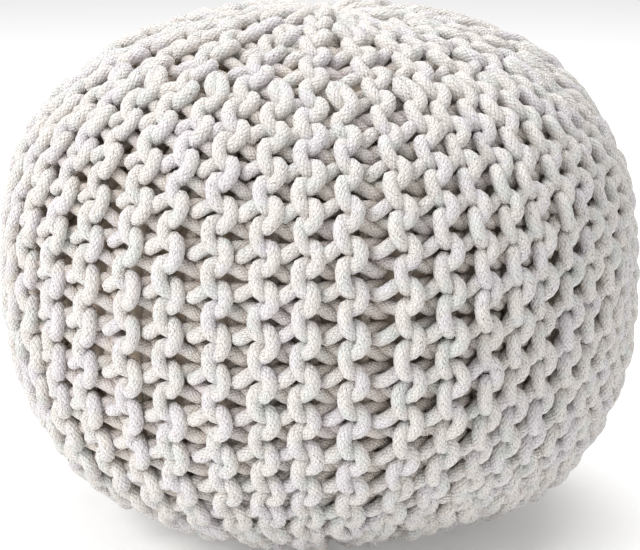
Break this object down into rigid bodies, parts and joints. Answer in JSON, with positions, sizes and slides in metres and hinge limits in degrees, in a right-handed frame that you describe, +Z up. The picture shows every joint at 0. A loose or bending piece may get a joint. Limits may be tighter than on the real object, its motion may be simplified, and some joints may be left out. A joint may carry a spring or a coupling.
{
  "type": "knitted pouf",
  "caption": "Round filled pouf in a chunky garter-knit cotton cover, with ridges from pole to pole and a flat base, used as a footstool, low seat or side table.",
  "frame": {"origin": "middle of the flat base, on the floor", "axes": "+Z up through both poles; -Y is the front, where one ridge's crest lies"},
  "size_m": [0.5, 0.5, 0.4036],
  "materials": {
    "cotton_cord": "matte ivory cotton cord flecked with pale grey, knitted in a chunky garter stitch"
  },
  "bodies": {
    "root": {"knitted_cover": "cotton_cord"}
  },
  "joints": []
}
